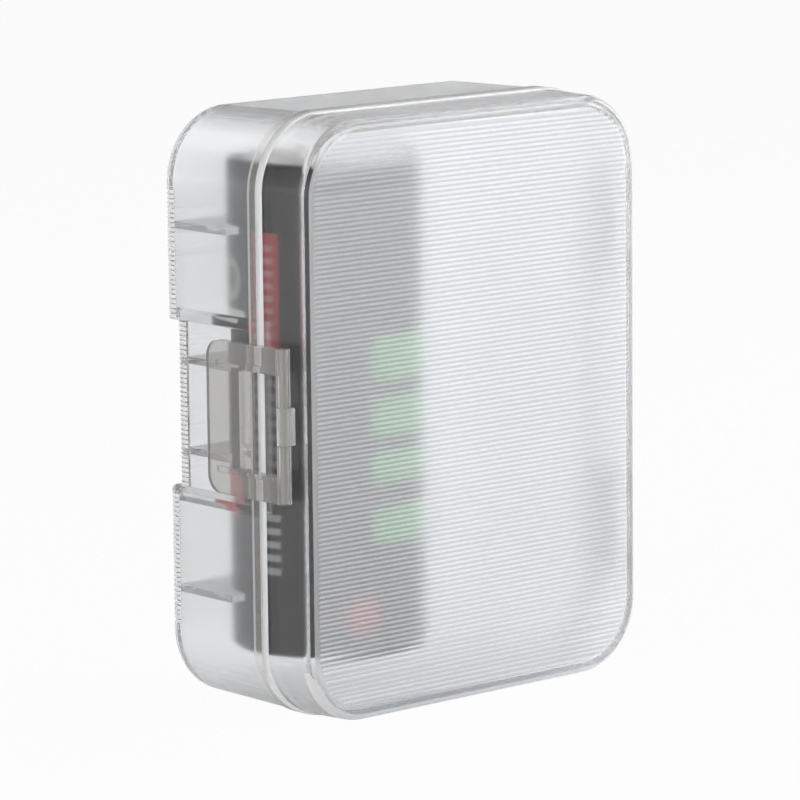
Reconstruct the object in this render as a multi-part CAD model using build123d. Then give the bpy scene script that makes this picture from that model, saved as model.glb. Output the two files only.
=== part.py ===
from build123d import *
import os
from math import cos, radians, sqrt, tan

# Frame while modelling: X across the case, Z up its height, both from its centre;
# Y = 0 is the parting plane, the base lies towards +Y and the lid towards -Y.

# Stored cell
cell_diameter = 26.2
cell_body_length = 69.2
button_proud = 1.5

# Room round the two cells
cell_gap = 3.8
cell_side_room = 0.75
cell_front_room = 0.75
cell_axis_depth = 5.45
upper_end_room = 4.2
lower_end_room = 7.1

# Walls of the case
corner_radius = 10.7
base_draft = 0.85
lid_draft = 2.25
side_wall = 1.5
panel_wall = 1.3
outer_edge_radius = 1.6
inner_edge_size = 0.3

# Reeding across the two large faces
reed_pitch = 0.676
reed_depth = 0.12
reed_land = 0.2
reed_margin = 0.2

# Rim round the parting plane
base_rim_width = 1.8
lid_rim_width = 1.2
rim_proud = 0.2
rim_chamfer = 0.15
lip_depth = 1.2
lip_thickness = 0.8
lip_clearance = 0.2
lip_root = 1.2

# Cradles for the cells
cradle_clearance = 0.25
cradle_web = 0.5
cradle_height = 11.8
cradle_thickness = 1.0
cradle_inner_spacing = 13.0
cradle_outer_spacing = 52.0

# Lid hinges on the right wall
hinge_spacing = 44.0
hinge_lid_knuckle = 7.0
hinge_base_knuckle = 4.3
hinge_knuckle_radius = 1.9
hinge_pin_radius = 0.75
hinge_swing_gap = 0.2
hinge_end_gap = 0.2
hinge_face_gap = 0.15
base_hinge_foot = 6.5
lid_hinge_foot = 5.5

# Latch on the left wall
latch_rise = 0.5
latch_reach = 8.9
latch_setback = 6.3
latch_thickness = 1.0
latch_corner_radius = 2.5
latch_knuckle_radius = 1.0
latch_pin_radius = 0.5
latch_swing_gap = 0.2
latch_end_gap = 0.15
latch_lug_length = 5.2
latch_knuckle_length = 8.05
latch_window_height = 14.2
latch_window_radius = 0.4
latch_rib_thickness = 0.8
latch_rib_gap = 0.25
latch_rib_reach = 7.4
hook_clearance = 0.15
hook_bite = 0.9
hook_nose = 0.5
hook_length = 2.2

# Finger recess under the latch
recess_depth = 1.75
recess_margin = 1.0
recess_flare = 0.6

# Fits of the pins
pin_hold_clearance = 0.02
pin_running_clearance = 0.06
pin_shortfall = 0.2

# Pieces of the cell
wrap_thickness = 0.2
wrap_fold = 2.2
plate_thickness = 0.4
board_thickness = 1.2
disc_thickness = 0.4
disc_margin = 0.1
can_wall = 0.3
bead_depth = 0.8
bead_height = 1.6
crimp_width = 1.6
crimp_thickness = 0.4
washer_thickness = 0.3
washer_bore_gap = 0.6
strip_thickness = 0.15
strip_slack = 0.05
strip_width = 5.0
strip_angle = 45.0
gasket_thickness = 0.5
cap_flange_thickness = 0.7
button_radius = 4.2
button_taper = 8.0
button_edge = 0.4
roll_clearance = 0.1
roll_bore_radius = 1.5
roll_end_gap = 0.2

# Sizes that follow from the ones above
cell_radius = cell_diameter / 2
cradle_radius = cell_radius + cradle_clearance
half_width = cell_gap / 2 + cell_diameter + cell_side_room + side_wall + recess_depth
case_width = half_width * 2
case_height = side_wall * 2 + lower_end_room + cell_body_length + button_proud + upper_end_room
half_height = case_height / 2
floor_y = cell_axis_depth + cradle_radius + cradle_web
base_depth = floor_y + panel_wall
lid_depth = cell_radius - cell_axis_depth + cell_front_room + panel_wall
cell_x = -(cell_radius + cell_gap / 2)
cell_y = cell_axis_depth
cell_bottom = side_wall + lower_end_room - half_height
cell_top = cell_bottom + cell_body_length
hinge_x = half_width + rim_proud + hinge_swing_gap + hinge_knuckle_radius
hinge_length = hinge_lid_knuckle + 2 * (hinge_base_knuckle + hinge_end_gap)
latch_height = latch_lug_length + 2 * (latch_knuckle_length + latch_end_gap)
latch_wall_x = half_width - latch_setback * tan(radians(lid_draft))
latch_x = -(latch_wall_x + latch_swing_gap + latch_knuckle_radius)
latch_y = -latch_setback
latch_face_x = latch_x - latch_knuckle_radius
latch_back_x = latch_face_x + latch_thickness
latch_knuckle_start = latch_lug_length / 2 + latch_end_gap
hook_y = base_rim_width + hook_clearance
recess_half = latch_height / 2 + recess_margin

# Sketch planes whose normals point into the base and into the lid
into_base = Plane(origin=(0, 0, 0), x_dir=(1, 0, 0), z_dir=(0, 1, 0))
into_lid = Plane(origin=(0, 0, 0), x_dir=(1, 0, 0), z_dir=(0, -1, 0))


def outline(inset):
    """Rounded outline of the case at the parting plane, moved inwards by inset."""
    return RectangleRounded(case_width - 2 * inset, case_height - 2 * inset, corner_radius - inset)


def drafted_block(plane, inset, depth, draft, soften, size):
    """Solid that tapers away from the parting plane, with the edge of its far face softened."""
    block = extrude(plane * outline(inset), amount=depth, taper=draft)
    far_face = block.faces().sort_by(Axis(plane.origin, plane.z_dir))[-1]
    return soften(far_face.edges(), size)


def rim_band(plane, width):
    """Slightly proud band round the mouth of a shell, with a chamfered outer edge."""
    band = extrude(plane * outline(-rim_proud), amount=width)
    far_face = band.faces().sort_by(Axis(plane.origin, plane.z_dir))[-1]
    return chamfer(far_face.edges(), rim_chamfer)


def block_between(low, high):
    """Box given by two corners."""
    size = [b - a for a, b in zip(low, high)]
    return Pos(*low) * Box(*size, align=(Align.MIN, Align.MIN, Align.MIN))


def upright_cylinder(x, y, low, high, radius):
    """Cylinder along Z between two heights."""
    return Pos(x, y, low) * Cylinder(radius, high - low, align=(Align.CENTER, Align.CENTER, Align.MIN))


def upright_prism(points, low, high):
    """Polygon in plan, drawn up between two heights."""
    return Pos(0, 0, low) * extrude(make_face(Polyline(*points, close=True)), amount=high - low)


def recess_zone(inset, front, block):
    """Space beside the latch with flared ends, as far as it lies outside a block."""
    half = recess_half + (inset - recess_depth)
    floor_x = inset - half_width
    mouth_x = floor_x - recess_depth
    right = [
        (0, -half),
        (floor_x, -half),
        (mouth_x, -half - recess_flare),
        (-case_width, -half - recess_flare),
    ]
    left = [(x, -z) for x, z in reversed(right)]
    start = Plane(origin=(0, front, latch_rise), x_dir=(1, 0, 0), z_dir=(0, 1, 0))
    zone = extrude(start * make_face(Polyline(*right, *left, close=True)), amount=base_depth)
    return zone - block


def reed_cuts(face_y, outward, inset, beside_latch):
    """Grooves between the reeds of a large face, each as long as the flat is at its height."""
    half_span = half_height - inset
    flat_radius = corner_radius - inset
    half_open = (reed_pitch - reed_land) / 2
    root_y = face_y - outward * reed_depth
    count = int((half_span - half_open) / reed_pitch + 0.5)
    cuts = []
    for k in range(-count, count):
        height = (k + 0.5) * reed_pitch
        into_corner = max(0, abs(height) + half_open - half_span + flat_radius)
        right = half_width - inset - flat_radius + sqrt(flat_radius**2 - into_corner**2)
        left = -right
        if abs(height - latch_rise) < recess_half + recess_flare + outer_edge_radius:
            left += beside_latch
        section = make_face(Polyline(
            (left, face_y, height - half_open),
            (left, root_y, height),
            (left, face_y, height + half_open),
            close=True,
        ))
        cuts.append(extrude(section, amount=right - left, dir=(1, 0, 0)))
    return cuts


def flat_inset(depth, draft):
    """Distance from the outline at the parting plane to the reeded part of a large face."""
    return depth * tan(radians(draft)) + outer_edge_radius + reed_margin


def cradle(height):
    """Transverse rib with a round seat for each of the two cells."""
    low = (-half_width, floor_y - cradle_height, height - cradle_thickness / 2)
    high = (half_width, base_depth, height + cradle_thickness / 2)
    rib = block_between(low, high)
    for side in (-1, 1):
        rib -= upright_cylinder(side * cell_x, cell_y, low[2], high[2], cradle_radius)
    return rib


def hinge_foot(side, reach, low, high):
    """Knuckle of a lid hinge and the gusset that carries it; side is 1 on the base, -1 on the lid."""
    root = half_width - side_wall / 2
    slant = hinge_knuckle_radius * cos(radians(45))
    points = [
        (root, side * hinge_face_gap),
        (hinge_x, side * hinge_face_gap),
        (hinge_x + slant, side * slant),
        (root, side * reach),
    ]
    knuckle = upright_cylinder(hinge_x, 0, low, high, hinge_knuckle_radius)
    return knuckle + upright_prism(points, low, high)


def hinge_bore(centre, clearance):
    """Space for the pin through a whole hinge."""
    half = hinge_length / 2
    return upright_cylinder(hinge_x, 0, centre - half, centre + half, hinge_pin_radius + clearance)


def hinge_centres():
    return (-hinge_spacing / 2, hinge_spacing / 2)


def make_base():
    """Rear tray: drafted shell, rim, finger recess, cradles and hinge knuckles."""
    body = drafted_block(into_base, 0, base_depth, base_draft, fillet, outer_edge_radius)
    body += rim_band(into_base, base_rim_width)
    beside = drafted_block(into_base, recess_depth, base_depth, base_draft, fillet, outer_edge_radius)
    body -= recess_zone(recess_depth, base_rim_width, beside)

    inset = recess_depth + side_wall
    cavity = drafted_block(into_base, side_wall, floor_y, base_draft, chamfer, inner_edge_size)
    beside = drafted_block(into_base, inset, floor_y, base_draft, chamfer, inner_edge_size)
    cavity -= recess_zone(inset, base_rim_width - side_wall, beside)
    shell = body - cavity

    cradle_heights = [s * d / 2 for d in (cradle_inner_spacing, cradle_outer_spacing) for s in (-1, 1)]
    ribs = [cradle(height) & body for height in cradle_heights]
    shell += ribs

    for centre in hinge_centres():
        for side in (-1, 1):
            inner = centre + side * (hinge_lid_knuckle / 2 + hinge_end_gap)
            low, high = sorted((inner, inner + side * hinge_base_knuckle))
            shell += hinge_foot(1, base_hinge_foot, low, high)
        shell -= hinge_bore(centre, pin_hold_clearance)
    return shell - reed_cuts(base_depth, 1, flat_inset(base_depth, base_draft), recess_depth)


def make_lid():
    """Front cover: drafted shell, rim, locating lip, latch lug and hinge knuckles."""
    shell = drafted_block(into_lid, 0, lid_depth, lid_draft, fillet, outer_edge_radius)
    shell += rim_band(into_lid, lid_rim_width)
    shell -= drafted_block(into_lid, side_wall, lid_depth - panel_wall, lid_draft, chamfer, inner_edge_size)

    lip_outer = side_wall + lip_clearance
    lip_inner = lip_outer + lip_thickness
    lip = extrude(into_base * (outline(lip_outer) - outline(lip_inner)), amount=lip_depth)
    lip += extrude(into_lid * (outline(side_wall / 2) - outline(lip_inner)), amount=lip_root)
    # The lip runs along three sides only, clear of the finger recess on the fourth
    plain_low = (-half_width, -lip_root, -half_height)
    plain_high = (corner_radius - half_width, lip_depth, half_height)
    lip -= block_between(plain_low, plain_high)
    shell += lip

    low = latch_rise - latch_lug_length / 2
    high = latch_rise + latch_lug_length / 2
    lug = upright_cylinder(latch_x, latch_y, low, high, latch_knuckle_radius)
    foot_low = (latch_x, latch_y - latch_knuckle_radius, low)
    foot_high = (-latch_wall_x + side_wall / 2, latch_y + latch_knuckle_radius, high)
    shell += lug + block_between(foot_low, foot_high)
    shell -= upright_cylinder(latch_x, latch_y, low, high, latch_pin_radius + pin_hold_clearance)

    for centre in hinge_centres():
        half = hinge_lid_knuckle / 2
        shell += hinge_foot(-1, lid_hinge_foot, centre - half, centre + half)
        shell -= hinge_bore(centre, pin_running_clearance)
    return shell - reed_cuts(-lid_depth, -1, flat_inset(lid_depth, lid_draft), 0)


def make_latch():
    """Flap with a window over the parting line, a hook behind the base's rim and two knuckles."""
    half = latch_height / 2
    side_view = Plane(origin=(latch_face_x, 0, latch_rise), x_dir=(0, 1, 0), z_dir=(1, 0, 0))
    length = latch_reach - latch_y
    middle = (latch_reach + latch_y) / 2
    sheet = Pos(middle, 0) * Rectangle(length, latch_height)
    free_corners = sheet.vertices().group_by(Axis.X)[-1]
    sheet = fillet(free_corners, latch_corner_radius)

    plate_end = latch_y + latch_knuckle_radius + latch_swing_gap
    window_half = latch_window_height / 2
    window = Pos((latch_y + hook_y) / 2, 0) * Rectangle(hook_y - latch_y, latch_window_height)
    window = fillet(window.vertices().group_by(Axis.X)[-1], latch_window_radius)
    lug_gap = Pos((latch_y + plate_end) / 2, 0) * Rectangle(plate_end - latch_y, latch_knuckle_start * 2)
    flap = extrude(side_view * (sheet - window - lug_gap), amount=latch_thickness)

    rib_front = -(half_width + rim_proud + latch_rib_gap)
    for side in (-1, 1):
        inner = latch_rise + side * window_half
        low, high = sorted((inner, inner + side * latch_rib_thickness))
        flap += block_between((latch_back_x, plate_end, low), (rib_front, latch_rib_reach, high))
        inner = latch_rise + side * latch_knuckle_start
        low, high = sorted((inner, latch_rise + side * half))
        flap += upright_cylinder(latch_x, latch_y, low, high, latch_knuckle_radius)

    hook_tip = hook_bite - half_width
    hook_outline = [
        (latch_back_x, hook_y),
        (hook_tip, hook_y),
        (hook_tip, hook_y + hook_nose),
        (latch_back_x, hook_y + hook_length),
    ]
    flap += upright_prism(hook_outline, latch_rise - window_half, latch_rise + window_half)
    return flap - upright_cylinder(
        latch_x, latch_y, latch_rise - half, latch_rise + half, latch_pin_radius + pin_running_clearance
    )


def make_hinge_pin(centre):
    half = (hinge_length - pin_shortfall) / 2
    return upright_cylinder(hinge_x, 0, centre - half, centre + half, hinge_pin_radius)


def make_latch_pin():
    half = (latch_height - pin_shortfall) / 2
    return upright_cylinder(latch_x, latch_y, latch_rise - half, latch_rise + half, latch_pin_radius)


# Heights of the cell's layers, from its negative end
wrap_inner = cell_radius - wrap_thickness
can_radius = wrap_inner - strip_thickness - strip_slack
disc_radius = can_radius - disc_margin
plate_low = cell_bottom + wrap_thickness
board_low = plate_low + plate_thickness
disc_low = board_low + board_thickness
can_low = disc_low + disc_thickness
strip_top = cell_top - wrap_thickness
washer_top = strip_top - strip_thickness
can_top = washer_top - washer_thickness
mouth_radius = can_radius - crimp_width
gasket_radius = can_radius - can_wall
flange_top = can_top - crimp_thickness - gasket_thickness
flange_low = flange_top - cap_flange_thickness
cap_radius = gasket_radius - gasket_thickness
seat_low = flange_low - gasket_thickness
bead_mid = seat_low - bead_height / 2
cap_bore_radius = cap_radius - gasket_thickness


def turned(points):
    """Solid of revolution about the cell's axis, from radius and height pairs."""
    profile = Plane.XZ * make_face(Polyline(*points, close=True))
    return Pos(cell_x, cell_y, 0) * revolve(profile, Axis.Z)


def disc(radius, low, high):
    return upright_cylinder(cell_x, cell_y, low, high, radius)


def make_wrap():
    """Shrink sleeve, folded in over both ends of the cell."""
    mouth = cell_radius - wrap_fold
    return turned([
        (mouth, cell_bottom),
        (cell_radius, cell_bottom),
        (cell_radius, cell_top),
        (mouth, cell_top),
        (mouth, cell_top - wrap_thickness),
        (wrap_inner, cell_top - wrap_thickness),
        (wrap_inner, cell_bottom + wrap_thickness),
        (mouth, cell_bottom + wrap_thickness),
    ])


def make_can():
    """Drawn steel cup with a rolled bead below its crimped mouth."""
    inner = can_radius - can_wall
    neck = can_radius - bead_depth
    rise = bead_height / 2
    return turned([
        (0, can_low),
        (can_radius, can_low),
        (can_radius, bead_mid - rise),
        (neck, bead_mid),
        (can_radius, bead_mid + rise),
        (can_radius, can_top),
        (mouth_radius, can_top),
        (mouth_radius, can_top - crimp_thickness),
        (inner, can_top - crimp_thickness),
        (inner, bead_mid + rise),
        (neck - can_wall, bead_mid),
        (inner, bead_mid - rise),
        (inner, can_low + crimp_thickness),
        (0, can_low + crimp_thickness),
    ])


def make_gasket():
    """Channel ring that wraps the edge of the top cap."""
    return turned([
        (cap_bore_radius, seat_low),
        (gasket_radius, seat_low),
        (gasket_radius, can_top - crimp_thickness),
        (mouth_radius, can_top - crimp_thickness),
        (mouth_radius, flange_top),
        (cap_radius, flange_top),
        (cap_radius, flange_low),
        (cap_bore_radius, flange_low),
    ])


def make_top_cap():
    """Flanged positive cap with a raised button."""
    button_top = cell_top + button_proud
    crown_radius = button_radius - (button_top - flange_top) * tan(radians(button_taper))
    return turned([
        (0, flange_low),
        (cap_radius, flange_low),
        (cap_radius, flange_top),
        (button_radius, flange_top),
        (crown_radius, button_top - button_edge),
        (crown_radius - button_edge, button_top),
        (0, button_top),
    ])


def make_top_washer():
    """Fibre ring over the crimp, round the button."""
    return disc(can_radius, can_top, washer_top) - disc(button_radius + washer_bore_gap, can_top, washer_top)


def make_contact_strip():
    """Flat strip up the side of the can, bent in over the washer."""
    outer = disc(can_radius + strip_thickness, board_low, strip_top)
    inner = disc(can_radius, board_low, washer_top)
    bore = disc(button_radius + washer_bore_gap, washer_top, strip_top)
    slab = block_between((0, -strip_width / 2, board_low), (cell_radius, strip_width / 2, strip_top))
    slab = Pos(cell_x, cell_y, 0) * Rot(0, 0, strip_angle) * slab
    return slab & (outer - inner - bore)


def make_electrode_roll():
    """Wound electrodes with their open core."""
    radius = can_radius - can_wall - roll_clearance
    low = can_low + crimp_thickness
    high = bead_mid - bead_height / 2 - roll_end_gap
    return disc(radius, low, high) - disc(roll_bore_radius, low, high)


pieces = {
    "base_shell": make_base(),
    "lid_shell": make_lid(),
    "hinge_pin_lower": make_hinge_pin(hinge_centres()[0]),
    "hinge_pin_upper": make_hinge_pin(hinge_centres()[1]),
    "latch": make_latch(),
    "latch_pin": make_latch_pin(),
    "cell_wrap": make_wrap(),
    "cell_can": make_can(),
    "cell_electrode_roll": make_electrode_roll(),
    "cell_gasket": make_gasket(),
    "cell_top_cap": make_top_cap(),
    "cell_top_washer": make_top_washer(),
    "cell_contact_strip": make_contact_strip(),
    "cell_insulating_disc": disc(disc_radius, disc_low, can_low),
    "cell_protection_board": disc(disc_radius, board_low, disc_low),
    "cell_negative_plate": disc(disc_radius, plate_low, board_low),
}

# The part's origin is the middle of its box at the height of its lowest edge
reach_left = latch_face_x
reach_right = hinge_x + hinge_knuckle_radius
to_origin = Pos(
    -(reach_left + reach_right) / 2,
    -(base_depth - lid_depth) / 2,
    half_height + rim_proud,
)

os.makedirs("parts", exist_ok=True)
for name, piece in pieces.items():
    export_step(to_origin * piece, f"parts/{name}.step")
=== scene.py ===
from math import atan2, ceil, cos, floor, hypot, pi, radians, sin, tan

import bmesh
import bpy
from mathutils import Matrix, Vector


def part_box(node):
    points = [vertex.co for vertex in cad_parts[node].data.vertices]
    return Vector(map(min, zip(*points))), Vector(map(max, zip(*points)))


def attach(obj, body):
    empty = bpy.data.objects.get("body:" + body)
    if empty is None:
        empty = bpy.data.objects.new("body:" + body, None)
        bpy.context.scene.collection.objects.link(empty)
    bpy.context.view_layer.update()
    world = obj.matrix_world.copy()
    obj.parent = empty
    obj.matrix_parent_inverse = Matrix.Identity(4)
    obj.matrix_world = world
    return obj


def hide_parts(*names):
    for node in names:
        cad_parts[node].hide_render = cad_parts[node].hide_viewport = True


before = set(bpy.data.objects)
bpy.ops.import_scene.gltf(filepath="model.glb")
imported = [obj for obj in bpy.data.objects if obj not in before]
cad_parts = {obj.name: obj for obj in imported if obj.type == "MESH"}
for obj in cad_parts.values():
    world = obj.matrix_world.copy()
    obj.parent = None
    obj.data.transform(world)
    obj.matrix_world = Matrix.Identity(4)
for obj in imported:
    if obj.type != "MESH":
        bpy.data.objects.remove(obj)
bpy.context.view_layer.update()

MM = 0.001

# Sizes of the case in millimetres, as its solids have them
case_width = 64.2
case_height = 85.0
corner_radius = 10.7
rim_proud = 0.2
base_rim_width = 1.8
lid_rim_width = 1.2
side_wall = 1.5
panel_wall = 1.3
base_draft = 0.85
edge_radius = 1.6
reed_pitch = 0.676
reed_depth = 0.12
reed_land = 0.2
reed_margin = 0.2
cradle_places = (6.5, 26.0)
recess_depth = 1.75
recess_half = 12.4
latch_rise = 0.5

# Sizes of what is added here, in millimetres: the teeth's reach onto the side and onto the back,
# the latch's eased edges, and half the width of the pale strip on the base's rim and of the painted
# highlight strip on the lid's rim
tooth_lead = 1.0
tooth_overlap = 0.3
eased_edge = 0.12
base_strip_half = 0.3
lid_strip_half = 0.35

# Limits in millimetres that tell a shell's faces apart by place, and the area of a small face
slack = 0.05
panel_slack = 0.02
rim_skin = 0.3
rib_half = 0.55
inner_gap = 0.3
recess_margin = 0.8
wide_slack = 0.1
small_face = 4.0

# Shares that tell them apart by slope: how much of a face's normal lies along an axis when it is square
# to it, mostly or partly towards it, on a tooth's slope, or on the round edge of the base or the lid
square_on = 0.9
mostly_on = 0.5
partly_on = 0.2
tooth_slope = 0.25
base_round = 0.03
lid_round = 0.06

# Reach of the base's round edge in its radii, and of the wall inside which a cradle begins, in walls
round_reach = 1.1
wall_reach = 0.9

# How much each plastic bends light; the thin wall hardly does
polystyrene_ior = 1.5
polycarbonate_ior = 1.58
thin_wall_ior = 1.12

# Angles in degrees: step of the corner arcs, and edges that stay sharp on the shells and on small pieces
corner_step = 2.5
shell_sharp = 30
piece_sharp = 40

# Points closer than this many millimetres are one
weld = 0.001

# Places of the solids, in metres
base_low, base_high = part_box("base_shell")
lid_low, lid_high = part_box("lid_shell")
sleeve_low, sleeve_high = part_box("cell_wrap")
parting_y = (base_low.y + lid_high.y) / 2
case_x = base_low.x + (rim_proud + case_width / 2) * MM
case_z = (base_low.z + base_high.z) / 2
arc_x = (case_width / 2 - corner_radius) * MM
arc_z = (case_height / 2 - corner_radius) * MM
hinge_side = (case_width / 2 + rim_proud + slack) * MM
cell_centre = (sleeve_low + sleeve_high) / 2
cell_radius = (sleeve_high.x - sleeve_low.x) / 2

# Camera of the photograph: its place, its turn and its focal length in pixels of the frame
camera_place = Vector((-474.16, -526.33, 159.78)) * MM
camera_yaw = -41.886
camera_pitch = 9.4806
camera_roll = -0.614
focal_pixels = 5004.5
frame_pixels = 800
sensor_width = 36.0
near_clip, far_clip = 0.01, 20.0

# Floor, in metres: half its width, the share of plain white that the camera sees, the painted fade of
# its mirror image towards the left, and the painted soft shade near the case that is seen through the case
floor_half = 3.0
floor_white = 0.95
mirror_left, mirror_right, mirror_least = -0.12, 0.05, 0.3
shade_centre = (-0.025, -0.02, 0.0)
shade_inner, shade_outer, shade_least = 0.015, 0.06, 0.5

# Room: height on a unit dome where its white backdrop ends, how much higher it ends through the
# plastic, and the level above it
backdrop_top = 0.15
backdrop_more = 0.3
room_level = 0.24

# Soft lamps that face the case: name, place and size in metres, power in watts. The last one is the
# soft gleam in the upper left corners.
lamps = [
    ("overhead", (0.0, -0.05, 0.75), (0.5, 0.5), 0.6),
    ("left_strip", (-0.62, -0.2, 0.25), (0.15, 0.5), 1.2),
    ("right_front", (0.5, -0.56, 0.17), (0.3, 0.75), 3.25),
    ("right_side", (0.68, -0.1, 0.2), (0.2, 0.5), 1.4),
    ("left_back", (-0.66, 0.1, 0.2), (0.25, 0.5), 0.9),
    ("high_back", (-0.21, 0.63, 0.57), (0.3, 0.3), 0.22),
]

# Light crosses many walls of the case, one behind the other
light_bounces = 32


def linear(hex_colour):
    """Linear RGBA of an sRGB hex colour."""
    parts = [int(hex_colour[i : i + 2], 16) / 255 for i in (1, 3, 5)]
    return [c / 12.92 if c <= 0.04045 else ((c + 0.055) / 1.055) ** 2.4 for c in parts] + [1.0]


def add(tree, kind, links=(), **settings):
    """Adds a node. Links gives its inputs, by place or by name, as nodes, sockets or plain values."""
    made = tree.nodes.new(kind)
    for name, value in settings.items():
        setattr(made, name, value)
    for key, value in links.items() if isinstance(links, dict) else enumerate(links):
        if isinstance(value, bpy.types.Node):
            value = value.outputs[0]
        if isinstance(value, bpy.types.NodeSocket):
            tree.links.new(value, made.inputs[key])
        else:
            made.inputs[key].default_value = value
    return made


def new_material(name):
    material = bpy.data.materials.new(name)
    material.use_nodes = True
    material.node_tree.nodes.clear()
    return material, material.node_tree


def new_object(name, data):
    made = bpy.data.objects.new(name, data)
    bpy.context.scene.collection.objects.link(made)
    return made


def clear_moulding(name, tint, haze, gloss, ior=polystyrene_ior, density=0.0, strip=None):
    """Clear plastic that lets lamps through: haze is the share that stays white, gloss its roughness range.

    Flow marks of some millimetres stir the gloss. Density darkens thick places. A strip is a second haze,
    with the middle and the half width in Y of the strip that has it.
    """
    flow_marks = 6 * MM
    material, tree = new_material(name)
    place = add(tree, "ShaderNodeTexCoord").outputs["Object"]
    flow = add(tree, "ShaderNodeTexNoise", {"Vector": place, "Scale": 1 / flow_marks, "Detail": 2.0})
    rough = add(tree, "ShaderNodeMapRange", {"Value": flow, "To Min": gloss[0], "To Max": gloss[1]})
    bodies = [
        add(
            tree,
            "ShaderNodeBsdfPrincipled",
            {"Base Color": linear(tint), "IOR": ior, "Transmission Weight": 1 - white, "Roughness": rough},
        )
        for white in ([haze, strip[0]] if strip else [haze])
    ]
    body = bodies[0]
    if strip:
        across = add(tree, "ShaderNodeSeparateXYZ", [place]).outputs["Y"]
        on_strip = add(tree, "ShaderNodeMath", [across, strip[1], strip[2]], operation="COMPARE")
        body = add(tree, "ShaderNodeMixShader", [on_strip, *bodies])
    lamp_way = add(tree, "ShaderNodeBsdfTransparent", {"Color": linear(tint)})
    path = add(tree, "ShaderNodeLightPath")
    surface = add(tree, "ShaderNodeMixShader", [path.outputs["Is Shadow Ray"], body, lamp_way])
    output = add(tree, "ShaderNodeOutputMaterial", {"Surface": surface})
    if density:
        inside = add(tree, "ShaderNodeVolumeAbsorption", {"Color": linear(tint), "Density": density})
        tree.links.new(inside.outputs[0], output.inputs["Volume"])
    return material


def solid_finish(name, colour, roughness, metallic, grain):
    """Opaque finish with a grain in its gloss and relief, of the given size in millimetres.

    The real grain is too fine to show in the render, so it is drawn this coarse.
    """
    gloss_range = 0.06
    material, tree = new_material(name)
    place = add(tree, "ShaderNodeTexCoord").outputs["Object"]
    noise = add(tree, "ShaderNodeTexNoise", {"Vector": place, "Scale": 1 / (grain * MM), "Detail": 2.0})
    rough = add(
        tree,
        "ShaderNodeMapRange",
        {"Value": noise, "To Min": roughness - gloss_range, "To Max": roughness + gloss_range},
    )
    relief = add(tree, "ShaderNodeBump", {"Height": noise, "Strength": 0.05, "Distance": 0.02 * MM})
    body = add(
        tree,
        "ShaderNodeBsdfPrincipled",
        {"Base Color": linear(colour), "Roughness": rough, "Metallic": metallic, "Normal": relief},
    )
    add(tree, "ShaderNodeOutputMaterial", {"Surface": body})
    return material


# Marks on the sleeve, print and a darker band round its top: colour, centre and size in millimetres
# round and along the cell, corner radius, and the pitch of the dashes that the mark is broken into
sleeve_colour = "#232324"
sleeve_marks = [
    # The first is a darker band round the top end of the sleeve
    ("#1b1b1c", (0.0, 32.8), (90.0, 3.7), 0.01, 0.0),
    ("#86383b", (-17.6, 17.3), (4.2, 16.2), 0.4, 0.0),
    ("#8f6a6a", (-17.6, 17.3), (2.4, 14.0), 0.2, 1.75),
    ("#5c5c5b", (-17.2, -2.2), (3.0, 14.8), 0.2, 1.9),
    ("#8a8a89", (-17.2, -18.6), (3.0, 9.4), 0.2, 1.9),
    ("#737371", (-25.8, 18.2), (6.2, 6.2), 3.1, 0.0),
    (sleeve_colour, (-25.8, 18.2), (3.6, 3.6), 1.8, 0.0),
    ("#a6a6a3", (-25.8, 13.2), (8.0, 1.6), 0.6, 0.0),
    ("#a8484d", (-26.5, -12.0), (7.0, 6.0), 1.2, 0.0),
    ("#6db672", (3.0, 7.5), (12.8, 6.4), 1.6, 0.0),
    ("#6db672", (3.0, -0.7), (12.8, 5.8), 1.6, 0.0),
    ("#6db672", (3.0, -7.8), (12.8, 4.6), 1.6, 0.0),
    ("#6db672", (3.0, -16.0), (12.8, 5.2), 1.6, 0.0),
    ("#a8484d", (-4.9, -28.5), (5.4, 5.4), 2.7, 0.0),
]


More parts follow.
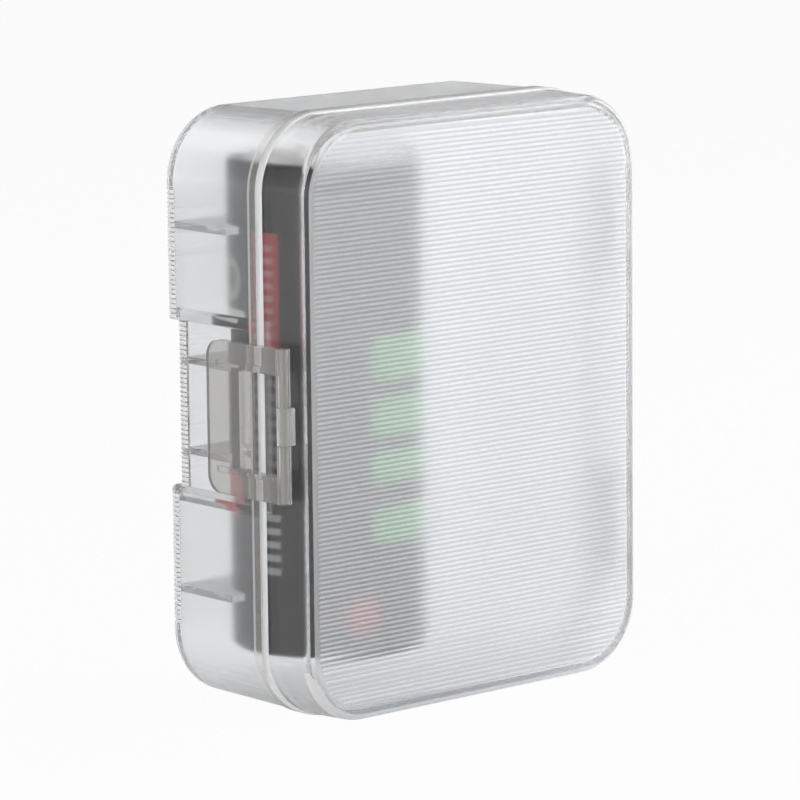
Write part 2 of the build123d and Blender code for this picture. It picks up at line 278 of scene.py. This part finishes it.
def printed_sleeve():
    """PVC shrink film: near black with a soft, uneven sheen, printed blocks and dashes, and a darker top
    band.
    """
    film_ripple = 1.5 * MM
    material, tree = new_material("printed_pvc_shrink_film")
    place = add(tree, "ShaderNodeTexCoord").outputs["Object"]
    centred = add(tree, "ShaderNodeVectorMath", [place, cell_centre], operation="SUBTRACT")
    axes = add(tree, "ShaderNodeSeparateXYZ", [centred]).outputs
    front = add(tree, "ShaderNodeMath", [axes["Y"], -1.0], operation="MULTIPLY")
    angle = add(tree, "ShaderNodeMath", [axes["X"], front], operation="ARCTAN2")
    around = add(tree, "ShaderNodeMath", [angle, cell_radius / MM], operation="MULTIPLY")
    along = add(tree, "ShaderNodeMath", [axes["Z"], MM], operation="DIVIDE")
    flat = add(tree, "ShaderNodeCombineXYZ", [around, along])
    colour = linear(sleeve_colour)
    for paint, centre, size, corner, dash in sleeve_marks:
        inner = (size[0] / 2 - corner, size[1] / 2 - corner, 0.0)
        away = add(tree, "ShaderNodeVectorMath", [flat, (*centre, 0.0)], operation="SUBTRACT")
        away = add(tree, "ShaderNodeVectorMath", [away], operation="ABSOLUTE")
        away = add(tree, "ShaderNodeVectorMath", [away, inner], operation="SUBTRACT")
        away = add(tree, "ShaderNodeVectorMath", [away, (0.0, 0.0, 0.0)], operation="MAXIMUM")
        reach = add(tree, "ShaderNodeVectorMath", [away], operation="LENGTH").outputs["Value"]
        mark = add(tree, "ShaderNodeMath", [reach, corner], operation="LESS_THAN")
        if dash:
            beat = add(tree, "ShaderNodeMath", [along, dash], operation="FLOORED_MODULO")
            beat = add(tree, "ShaderNodeMath", [beat, dash * 0.5], operation="LESS_THAN")
            mark = add(tree, "ShaderNodeMath", [mark, beat], operation="MULTIPLY")
        mix = add(tree, "ShaderNodeMix", {0: mark, 6: colour, 7: linear(paint)}, data_type="RGBA")
        colour = mix.outputs[2]
    noise = add(tree, "ShaderNodeTexNoise", {"Vector": place, "Scale": 1 / film_ripple, "Detail": 3.0})
    rough = add(tree, "ShaderNodeMapRange", {"Value": noise, "To Min": 0.3, "To Max": 0.45})
    body = add(
        tree,
        "ShaderNodeBsdfPrincipled",
        {"Base Color": colour, "Roughness": rough, "Specular IOR Level": 0.2},
    )
    add(tree, "ShaderNodeOutputMaterial", {"Surface": body})
    return material


def fine_corners(mesh):
    """Rounds the four corners of a shell's mesh with closer steps, on the arcs that its points lie on."""
    arc_slack, least_radius = 0.01 * MM, 2 * MM
    shortest_arc, longest_arc = 0.001, 0.3
    step = radians(corner_step)
    same_angle = 0.025
    near = step * same_angle
    shape = bmesh.new()
    shape.from_mesh(mesh)
    bmesh.ops.remove_doubles(shape, verts=shape.verts, dist=weld * MM)
    shape.verts.ensure_lookup_table()
    points = [v.co.copy() for v in shape.verts]
    faces = [[v.index for v in face.verts] for face in shape.faces]
    shape.free()

    def polar(point):
        """Corner that a point lies in, with its angle and radius about that corner's centre."""
        x, z = point.x - case_x, point.z - case_z
        away_x, away_z = abs(x) - arc_x, abs(z) - arc_z
        if min(away_x, away_z) < -arc_slack:
            return None
        return (x > 0, z > 0), atan2(max(away_z, 0), max(away_x, 0)), hypot(away_x, away_z)

    places = [polar(p) for p in points]
    split = {}

    def between(a, b):
        """Points set on the arc from one point to another, in order of their angle."""
        first, second = sorted((a, b))
        if (first, second) in split:
            return split[first, second]
        made = []
        if places[a] and places[b] and places[a][0] == places[b][0]:
            low, high = sorted((first, second), key=lambda i: places[i][1])
            (right, top), start, low_radius = places[low]
            _, end, high_radius = places[high]
            if shortest_arc < end - start < longest_arc and min(low_radius, high_radius) > least_radius:
                for k in range(ceil((start + near) / step), floor((end - near) / step) + 1):
                    share = (k * step - start) / (end - start)
                    radius = low_radius + (high_radius - low_radius) * share
                    x = arc_x + radius * cos(k * step)
                    z = arc_z + radius * sin(k * step)
                    y = points[low].y + (points[high].y - points[low].y) * share
                    points.append(Vector((case_x + (x if right else -x), y, case_z + (z if top else -z))))
                    made.append((k * step, len(points) - 1))
        split[first, second] = made
        return made

    cut = []
    for face in faces:
        if not any(between(face[i - 1], face[i]) for i in range(3)):
            cut.append(face)
            continue
        if not all(places[i] and places[i][0] == places[face[0]][0] for i in face):
            # A face with one side on an arc keeps its shape, with more points on that side
            ring = []
            for i, n in zip(face, face[1:] + face[:1]):
                steps = between(i, n)
                if steps and places[i][1] >= places[n][1]:
                    steps = steps[::-1]
                ring += [i] + [p for _, p in steps]
            cut.append(ring)
            continue
        # A face within a corner is cut at every step of its longest side
        low, middle, high = sorted(face, key=lambda i: places[i][1])
        turned = face[(face.index(low) + 1) % 3] != middle
        start, end = [(places[low][1], low)], [(places[high][1], high)]
        bent = start + between(low, middle) + [(places[middle][1], middle)] + between(middle, high) + end
        straight = start + between(low, high) + end
        marks = [t for t, _ in straight]
        for first, last in zip(marks, marks[1:]):
            ring = [p for t, p in bent if first - near <= t <= last + near]
            ring += [p for t, p in straight[::-1] if first - near <= t <= last + near and p not in ring]
            if len(ring) > 2:
                cut.append(ring[::-1] if turned else ring)
    made = bpy.data.meshes.new(mesh.name + "_fine")
    made.from_pydata([p[:] for p in points], [], cut)
    return made


def shaded(mesh, sharp_angle, reeded_y=None):
    """Smooth all over, except at edges sharper than the given angle, or twice that on a reeded face."""
    shape = bmesh.new()
    shape.from_mesh(mesh)
    for face in shape.faces:
        face.smooth = True
    for edge in shape.edges:
        reeded = reeded_y is not None and abs(edge.verts[0].co.y - reeded_y) < 2 * reed_depth * MM
        limit = radians(sharp_angle * (2 if reeded else 1))
        edge.smooth = edge.is_manifold and edge.calc_face_angle(pi) < limit
    shape.to_mesh(mesh)
    shape.free()


def edge_reeds_tree():
    """Cuts short grooves that carry the reeding round the two long back edges of the base."""
    tree = bpy.data.node_groups.new("edge_reeds", "GeometryNodeTree")
    sockets = [
        ("Shell", "Geometry"),
        ("Finish", "Material"),
        ("Edge Radius", "Float"),
        ("Flat Lead", "Float"),
        ("Side Lead", "Float"),
        ("Pitch", "Float"),
        ("Groove Width", "Float"),
        ("Groove Depth", "Float"),
        ("Rows", "Int"),
        ("First Left", "Vector"),
        ("First Right", "Vector"),
        ("Recess Depth", "Float"),
        ("Recess Low", "Float"),
        ("Recess High", "Float"),
    ]
    for name, kind in sockets:
        tree.interface.new_socket(name, in_out="INPUT", socket_type="NodeSocket" + kind)
    tree.interface.new_socket("Shell", in_out="OUTPUT", socket_type="NodeSocketGeometry")
    given = add(tree, "NodeGroupInput").outputs

    # One groove: a kite swept from the flat, round the edge and onto the side
    index = add(tree, "GeometryNodeInputIndex")
    reach = add(tree, "ShaderNodeMath", [given["Edge Radius"], given["Flat Lead"]], operation="ADD")
    drop = add(tree, "ShaderNodeMath", [given["Edge Radius"], given["Side Lead"]], operation="ADD")
    drop = add(tree, "ShaderNodeMath", [drop, -1.0], operation="MULTIPLY")
    on_flat = add(tree, "ShaderNodeMath", [index, 1.0], operation="LESS_THAN")
    on_side = add(tree, "ShaderNodeMath", [index, 1.0], operation="GREATER_THAN")
    along_flat = add(tree, "ShaderNodeMath", [on_flat, reach], operation="MULTIPLY")
    down_side = add(tree, "ShaderNodeMath", [on_side, drop], operation="MULTIPLY")
    corner = add(tree, "ShaderNodeCombineXYZ", [along_flat, down_side])
    line = add(tree, "GeometryNodeMeshLine", {"Count": 3})
    line = add(tree, "GeometryNodeSetPosition", {"Geometry": line, "Position": corner})
    path = add(tree, "GeometryNodeMeshToCurve", [line])
    path = add(
        tree,
        "GeometryNodeFilletCurve",
        {"Curve": path, "Count": 8, "Radius": given["Edge Radius"]},
        mode="POLY",
    )
    path = add(tree, "GeometryNodeSetCurveNormal", [path], mode="Z_UP")
    both_ways = add(tree, "ShaderNodeMath", [given["Groove Depth"], 2.0], operation="MULTIPLY")
    half_width = add(tree, "ShaderNodeMath", [given["Groove Width"], 0.5], operation="MULTIPLY")
    kite = add(
        tree,
        "GeometryNodeCurvePrimitiveQuadrilateral",
        {"Width": both_ways, "Bottom Height": half_width, "Top Height": half_width},
        mode="KITE",
    )
    groove = add(tree, "GeometryNodeCurveToMesh", {"Curve": path, "Profile Curve": kite, "Fill Caps": True})

    # A column of grooves down each edge; those beside the latch step in with the finger recess
    step = add(tree, "ShaderNodeCombineXYZ", {"Z": given["Pitch"]})
    columns = []
    for start, turn in (("First Left", 0.0), ("First Right", pi)):
        rows = add(
            tree,
            "GeometryNodeMeshLine",
            {"Count": given["Rows"], "Start Location": given[start], "Offset": step},
        )
        if start == "First Left":
            place = add(tree, "GeometryNodeInputPosition")
            z = add(tree, "ShaderNodeSeparateXYZ", [place]).outputs["Z"]
            above = add(tree, "ShaderNodeMath", [z, given["Recess Low"]], operation="GREATER_THAN")
            below = add(tree, "ShaderNodeMath", [z, given["Recess High"]], operation="LESS_THAN")
            beside = add(tree, "ShaderNodeMath", [above, below], operation="MULTIPLY")
            inward = add(tree, "ShaderNodeMath", [beside, given["Recess Depth"]], operation="MULTIPLY")
            shift = add(tree, "ShaderNodeCombineXYZ", {"X": inward})
            rows = add(tree, "GeometryNodeSetPosition", {"Geometry": rows, "Offset": shift})
        columns.append(
            add(
                tree,
                "GeometryNodeInstanceOnPoints",
                {"Points": rows, "Instance": groove, "Rotation": (0.0, turn, 0.0)},
            )
        )
    grooves = add(tree, "GeometryNodeJoinGeometry")
    for column in columns:
        tree.links.new(column.outputs[0], grooves.inputs[0])
    cutters = add(tree, "GeometryNodeRealizeInstances", [grooves])
    cut = add(
        tree,
        "GeometryNodeMeshBoolean",
        {"Mesh 1": given["Shell"], "Mesh 2": cutters},
        operation="DIFFERENCE",
        solver="EXACT",
    )
    whole = add(tree, "GeometryNodeRealizeInstances", [cut])
    finish = add(tree, "GeometryNodeSetMaterial", {"Geometry": whole, "Material": given["Finish"]})
    add(tree, "NodeGroupOutput", [finish])
    return tree


def grown(piece, tree, values):
    """Plain mesh of what a node tree makes of a piece, which keeps no modifier."""
    modifier = piece.modifiers.new(tree.name, "NODES")
    modifier.node_group = tree
    for item in tree.interface.items_tree:
        if item.in_out == "INPUT" and item.name in values:
            modifier[item.identifier] = values[item.name]
    depsgraph = bpy.context.evaluated_depsgraph_get()
    mesh = bpy.data.meshes.new_from_object(piece.evaluated_get(depsgraph))
    piece.modifiers.remove(modifier)
    return mesh


def finish_piece(piece, materials, node, body):
    piece.data.materials.clear()
    for material in materials:
        piece.data.materials.append(material)
    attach(piece, body)
    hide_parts(node)


def finish_faces(piece, finishes, finish_of):
    """Gives each face of a piece the finish that is named for it."""
    order = list(finishes)
    for face in piece.data.polygons:
        face.material_index = order.index(finish_of(face))


def beside_cradle(height):
    """True at the height of one of the cradles, from the middle of the case."""
    return min(abs(abs(height) - place * MM) for place in cradle_places) < rib_half * MM


def beside_latch(height):
    """True at the height of the finger recess, from the middle of the case."""
    return abs(height - latch_rise * MM) < (recess_half + recess_margin) * MM


def edge_depth(point):
    """Distance of a point inwards from the case's rounded outline, seen along Y."""
    x = abs(point.x - case_x) - arc_x
    z = abs(point.z - case_z) - arc_z
    return corner_radius * MM - hypot(max(x, 0), max(z, 0)) - min(max(x, z), 0)


def base_finish(face):
    """Name of the finish of a face of the base, by its place and the way it faces."""
    x, y, z = face.center.x - case_x, face.center.y, face.center.z - case_z
    depth = edge_depth(face.center)
    normal = face.normal
    small = face.area < small_face * MM**2
    panel_y = base_high.y - panel_wall * MM
    rim_y = parting_y + base_rim_width * MM
    edge_y = base_high.y - edge_radius * round_reach * MM
    teeth_y = base_high.y - (edge_radius + tooth_lead + wide_slack) * MM
    inner_half = (case_width / 2 - recess_depth - side_wall - inner_gap) * MM
    if abs(y - panel_y) < panel_slack * MM and normal.y < -square_on:
        return "panel"
    if y < panel_y and max(abs(x), abs(z)) < inner_half:
        return "ribs"
    if y < panel_y and depth > side_wall * wall_reach * MM and beside_cradle(z):
        return "ribs"
    if y < rim_y + slack * MM and depth > side_wall * MM and abs(normal.y) > square_on:
        return "thin"
    in_recess = depth > (recess_depth - wide_slack) * MM and beside_latch(z)
    if x < 0 and abs(normal.x) > square_on and in_recess:
        return "thin"
    # Slopes of the teeth take the painted highlight
    if y > teeth_y and abs(z) < arc_z and abs(normal.z) > tooth_slope and small:
        return "teeth"
    if y > edge_y and normal.y > base_round and small:
        return "edge"
    if x > hinge_side or (y < rim_y and depth < rim_skin * MM):
        return "rim"
    return "walls"


def lid_finish(face):
    """Name of the finish of a face of the lid, by its place and the way it faces."""
    x, y = face.center.x - case_x, face.center.y
    normal = face.normal
    panel_y = lid_low.y + panel_wall * MM
    rim_y = parting_y - (lid_rim_width + slack) * MM
    if abs(y - panel_y) < panel_slack * MM and normal.y > square_on:
        return "panel"
    if y < lid_low.y + reed_depth * MM and normal.y < -mostly_on:
        # Down-facing slopes of the reeds take the painted shade
        return "painted_shade_undersides" if normal.z < -partly_on else "reeds"
    if normal.y < -lid_round and (normal.x > partly_on or normal.z < -partly_on):
        return "edge"
    if abs(x) > hinge_side:
        return "lug" if x < 0 else "rim"
    if y > rim_y and edge_depth(face.center) < rim_skin * MM:
        return "step" if normal.y < -mostly_on else "rim"
    return "walls"


def make_base(finishes):
    """Rear tray with fine corners and reeds that run over its back edges."""
    piece = new_object("base_tray", fine_corners(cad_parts["base_shell"].data))
    back_half = case_width / 2 - (base_high.y - parting_y) / MM * tan(radians(base_draft))
    rows = 2 * int((arc_z / MM - reed_pitch / 2) / reed_pitch)
    first_z = case_z - (rows - 1) / 2 * reed_pitch * MM
    recess_z = case_z + latch_rise * MM
    values = {
        "Finish": finishes["walls"],
        "Edge Radius": edge_radius * MM,
        "Flat Lead": (reed_margin + tooth_overlap) * MM,
        "Side Lead": tooth_lead * MM,
        "Pitch": reed_pitch * MM,
        "Groove Width": (reed_pitch - reed_land) * MM,
        "Groove Depth": reed_depth * MM,
        "Rows": rows,
        "First Left": Vector((case_x - back_half * MM, base_high.y, first_z)),
        "First Right": Vector((case_x + back_half * MM, base_high.y, first_z)),
        "Recess Depth": recess_depth * MM,
        "Recess Low": recess_z - recess_half * MM,
        "Recess High": recess_z + recess_half * MM,
    }
    piece.data = grown(piece, edge_reeds_tree(), values)
    shaded(piece.data, shell_sharp, base_high.y)
    piece.modifiers.new("even_gloss", "WEIGHTED_NORMAL").keep_sharp = True
    finish_piece(piece, finishes.values(), "base_shell", "base")
    finish_faces(piece, finishes, base_finish)


def make_lid(finishes):
    """Front cover with fine corners, hazy reeds and a matt inner face."""
    piece = new_object("lid_cover", fine_corners(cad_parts["lid_shell"].data))
    shaded(piece.data, shell_sharp, lid_low.y)
    piece.modifiers.new("even_gloss", "WEIGHTED_NORMAL").keep_sharp = True
    finish_piece(piece, finishes.values(), "lid_shell", "lid")
    finish_faces(piece, finishes, lid_finish)


def make_latch(material):
    """Latch flap with its sharp edges eased, so that they catch the light."""
    flat_angle = 0.5
    mesh = bpy.data.meshes.new("latch_flap")
    shape = bmesh.new()
    shape.from_mesh(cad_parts["latch"].data)
    bmesh.ops.remove_doubles(shape, verts=shape.verts, dist=weld * MM)
    bmesh.ops.dissolve_limit(shape, angle_limit=radians(flat_angle), verts=shape.verts, edges=shape.edges)
    shape.to_mesh(mesh)
    shape.free()
    shaded(mesh, piece_sharp)
    piece = new_object("latch_flap", mesh)
    ease = piece.modifiers.new("eased_edges", "BEVEL")
    ease.width = eased_edge * MM
    ease.segments = 2
    ease.limit_method = "ANGLE"
    ease.angle_limit = radians(piece_sharp)
    piece.modifiers.new("even_gloss", "WEIGHTED_NORMAL").keep_sharp = True
    finish_piece(piece, [material], "latch", "latch")


def make_sleeve(material):
    """Shrink sleeve turned about the cell's axis, with round shoulders and both ends folded in."""
    thick, fold, shoulder = 0.2, 2.2, 0.7
    shoulder_steps, turn_steps = 6, 128
    radius = cell_radius / MM
    half = (sleeve_high.z - sleeve_low.z) / MM / 2
    upper = []
    for k in range(shoulder_steps + 1):
        lean = radians(90 * k / shoulder_steps)
        upper.append((radius - shoulder + shoulder * cos(lean), half - shoulder + shoulder * sin(lean)))
    upper += [(radius - fold, half), (radius - fold, half - thick), (radius - thick, half - thick)]
    profile = upper + [(r, -z) for r, z in reversed(upper)]
    shape = bmesh.new()
    rings = []
    for j in range(turn_steps):
        turn = 2 * pi * j / turn_steps
        spots = [Vector((r * cos(turn), r * sin(turn), z)) * MM + cell_centre for r, z in profile]
        rings.append([shape.verts.new(spot) for spot in spots])
    for j in range(turn_steps):
        here, after = rings[j - 1], rings[j]
        for k in range(len(profile)):
            shape.faces.new((here[k - 1], after[k - 1], after[k], here[k]))
    bmesh.ops.recalc_face_normals(shape, faces=shape.faces)
    mesh = bpy.data.meshes.new("cell_sleeve")
    shape.to_mesh(mesh)
    shape.free()
    shaded(mesh, piece_sharp)
    finish_piece(new_object("cell_sleeve", mesh), [material], "cell_wrap", "base")


# The shells are one clear polystyrene, with a mould texture of its own on each kind of face.
# Back edge of the base, right and lower edges of the lid: frosted, so that they read as white
frosted_edge = clear_moulding("frosted_polystyrene", "#fafafa", 0.7, (0.3, 0.36))
# Pale strip on the base's rim and painted highlight strip on the lid's rim: haze, middle and half width in
# Y
base_strip = (0.5, parting_y + (base_rim_width - base_strip_half) * MM, base_strip_half * MM)
lid_highlight_strip = (0.65, parting_y - (lid_rim_width - lid_strip_half) * MM, lid_strip_half * MM)

make_base(
    {
        # Fine texture: pale walls with soft shapes behind them
        "walls": clear_moulding("moulded_hazy_polystyrene", "#fcfdfe", 0.05, (0.14, 0.2)),
        # Inner face of the back: a light veil, so that the base stays pale
        "panel": clear_moulding("veiled_polystyrene", "#f9fafc", 0.15, (0.34, 0.4)),
        # Ribs of the cradles: soft and pale, so that they fade into the wall in front of them
        "ribs": clear_moulding("satin_polystyrene", "#fcfcfc", 0.16, (0.45, 0.5)),
        "edge": frosted_edge,
        # Rim and hinge knuckles: thick, with a milky cast over what is behind them
        "rim": clear_moulding("milky_polystyrene", "#eceae6", 0.14, (0.16, 0.22), strip=base_strip),
        # Wall behind the finger recess: so thin that it hardly bends what is seen through it
        "thin": clear_moulding("thin_clear_polystyrene", "#fbfbfb", 0.04, (0.05, 0.1), thin_wall_ior),
        # Slopes of the teeth: nearly white, a painted highlight in fine bars down the edge
        "teeth": clear_moulding("highlight_white_tooth_polystyrene", "#fafafa", 0.85, (0.3, 0.36)),
    }
)
make_lid(
    {
        # Polished: colourless and sharp, seen by its bright edges
        "walls": clear_moulding("moulded_clear_polystyrene", "#fbfbfb", 0.0, (0.12, 0.18)),
        # Spark texture inside the large face: a white veil that hides what is far behind it
        "panel": clear_moulding("spark_textured_polystyrene", "#d7d9de", 0.28, (0.42, 0.48)),
        # Reeds: glossy slopes under a light haze, which draw fine bright lines
        "reeds": clear_moulding("reeded_polystyrene", "#fafafa", 0.08, (0.08, 0.14)),
        "edge": frosted_edge,
        # Rim and hinge knuckles: a bright narrow band beside the base's rim, a painted highlight
        "rim": clear_moulding("rim_with_painted_highlight_polystyrene", "#fafafa", 0.2, (0.3, 0.36), strip=lid_highlight_strip),
        # Step of the rim: a thin white line, a painted highlight
        "step": clear_moulding("highlight_white_step_polystyrene", "#fafafa", 0.85, (0.1, 0.16)),
        # Lug of the latch's hinge: as grey as the knuckles on both sides of it
        "lug": clear_moulding("toned_polystyrene", "#d2d1cd", 0.3, (0.1, 0.16)),
        # Lower slopes of the reeds: a darker tint, painted shade on the slopes that face the floor, which
        # draws fine grey lines
        "painted_shade_undersides": clear_moulding("painted_shade_reed_polystyrene", "#e6e8eb", 0.08, (0.08, 0.14)),
    }
)
# Smoked polycarbonate: a thin grey body with dark edges where light crosses its width
smoked = ("moulded_smoked_polycarbonate", "#d9d8d5", 0.14, (0.04, 0.09), polycarbonate_ior)
make_latch(clear_moulding(*smoked, density=90.0))
make_sleeve(printed_sleeve())

# Solids that keep their own mesh: material, colour, roughness, metal, grain in millimetres, and the pieces
solid_finishes = [
    # Bright wire with a narrow gleam along it
    ("drawn_steel_wire", "#b4b4b6", 0.35, 1.0, 0.3, ("hinge_pin_lower", "hinge_pin_upper", "latch_pin")),
    # Warm silver, a little blurred
    (
        "nickel_plated_steel",
        "#cfcdc9",
        0.32,
        1.0,
        0.3,
        ("cell_can", "cell_top_cap", "cell_contact_strip", "cell_negative_plate"),
    ),
    # Dull grey-brown with some metal in it
    ("wound_electrode_foil", "#6a655f", 0.5, 0.6, 0.3, ("cell_electrode_roll",)),
    # Black with a soft sheen
    ("moulded_nylon_gasket", "#1c1c1c", 0.5, 0.0, 0.3, ("cell_gasket",)),
    # Off-white and quite matt, like thick paper
    ("pressed_fibre_board", "#d6d5d2", 0.8, 0.0, 0.15, ("cell_top_washer", "cell_insulating_disc")),
    # Deep green under a thin gloss
    ("solder_mask_on_glass_fibre", "#0f4a24", 0.4, 0.0, 0.3, ("cell_protection_board",)),
]
for *finish, names in solid_finishes:
    material = solid_finish(*finish)
    for name in names:
        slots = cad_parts[name].data.materials
        slots.clear()
        slots.append(material)


def make_camera():
    yaw, pitch, roll = radians(camera_yaw), radians(camera_pitch), radians(camera_roll)
    back = Vector((sin(yaw) * cos(pitch), -cos(yaw) * cos(pitch), sin(pitch)))
    level = Vector((cos(yaw), sin(yaw), 0))
    over = back.cross(level)
    right = level * cos(roll) + over * sin(roll)
    up = over * cos(roll) - level * sin(roll)
    data = bpy.data.cameras.new("camera")
    data.sensor_width = sensor_width
    data.lens = focal_pixels / frame_pixels * sensor_width
    data.clip_start = near_clip
    data.clip_end = far_clip
    made = new_object("camera", data)
    turn = Matrix((right, up, back)).transposed().to_4x4()
    made.matrix_world = Matrix.Translation(camera_place) @ turn
    bpy.context.scene.camera = made


def softbox(name, place, size, watts):
    """Soft lamp that faces the middle of the case."""
    data = bpy.data.lights.new(name, "AREA")
    data.shape = "RECTANGLE"
    data.size, data.size_y = size
    data.energy = watts
    made = new_object(name, data)
    made.location = place
    made.rotation_euler = (Vector((0, 0, case_z)) - Vector(place)).to_track_quat("-Z", "Y").to_euler()


def make_floor():
    """Matt white board: white to the camera and through the plastic, with a painted soft shade near the
    case and a painted fade to the left in reflections, and it keeps a soft shadow.
    """
    mesh = bpy.data.meshes.new("floor")
    shape = bmesh.new()
    bmesh.ops.create_grid(shape, x_segments=1, y_segments=1, size=floor_half)
    shape.to_mesh(mesh)
    shape.free()
    material, tree = new_material("matt_white_board")
    matt = add(tree, "ShaderNodeBsdfDiffuse", {"Color": linear("#f0f0f0")})
    place = add(tree, "ShaderNodeTexCoord").outputs["Object"]
    path = add(tree, "ShaderNodeLightPath").outputs
    seen = path["Is Camera Ray"]
    across = add(tree, "ShaderNodeSeparateXYZ", [place]).outputs["X"]
    # Painted shade: in reflections the glow fades towards the left, and near the case it dims to a painted
    # soft shade
    fade = add(
        tree,
        "ShaderNodeMapRange",
        {"Value": across, "From Min": mirror_left, "From Max": mirror_right, "To Min": mirror_least},
    )
    mirrored = add(tree, "ShaderNodeMath", [path["Is Glossy Ray"], fade], operation="MULTIPLY")
    through = add(tree, "ShaderNodeMath", [path["Is Transmission Ray"], mirrored], operation="MAXIMUM")
    away = add(tree, "ShaderNodeVectorMath", [place, shade_centre], operation="DISTANCE").outputs["Value"]
    shade = add(
        tree,
        "ShaderNodeMapRange",
        {"Value": away, "From Min": shade_inner, "From Max": shade_outer, "To Min": shade_least},
    )
    glow = add(tree, "ShaderNodeMath", [through, shade, seen], operation="MULTIPLY_ADD")
    white = add(tree, "ShaderNodeEmission", {"Color": linear("#ffffff"), "Strength": glow})
    share = add(tree, "ShaderNodeMath", [seen, floor_white, through], operation="MULTIPLY_ADD")
    surface = add(tree, "ShaderNodeMixShader", [share, matt, white])
    add(tree, "ShaderNodeOutputMaterial", {"Surface": surface})
    mesh.materials.append(material)
    new_object("floor", mesh)


def make_world():
    """White to the camera; to the case, a white backdrop low down with a dim room above it."""
    world = bpy.data.worlds.new("studio")
    world.use_nodes = True
    tree = world.node_tree
    tree.nodes.clear()
    place = add(tree, "ShaderNodeTexCoord").outputs["Generated"]
    height = add(tree, "ShaderNodeSeparateXYZ", [place]).outputs["Z"]
    path = add(tree, "ShaderNodeLightPath").outputs
    top = add(
        tree,
        "ShaderNodeMath",
        [path["Is Transmission Ray"], backdrop_more, backdrop_top],
        operation="MULTIPLY_ADD",
    )
    room = add(
        tree,
        "ShaderNodeMapRange",
        {"Value": height, "From Max": top, "To Min": 1.0, "To Max": room_level},
    )
    level = add(tree, "ShaderNodeMix", {"Factor": path["Is Camera Ray"], "A": room, "B": 1.0})
    sky = add(tree, "ShaderNodeBackground", {"Color": linear("#ffffff"), "Strength": level})
    add(tree, "ShaderNodeOutputWorld", {"Surface": sky})
    bpy.context.scene.world = world


make_camera()
make_floor()
make_world()
for lamp in lamps:
    softbox(*lamp)

cycles = bpy.context.scene.cycles
cycles.max_bounces = cycles.transmission_bounces = light_bounces
cycles.glossy_bounces = cycles.transparent_max_bounces = light_bounces
bpy.context.scene.view_settings.view_transform = "Standard"
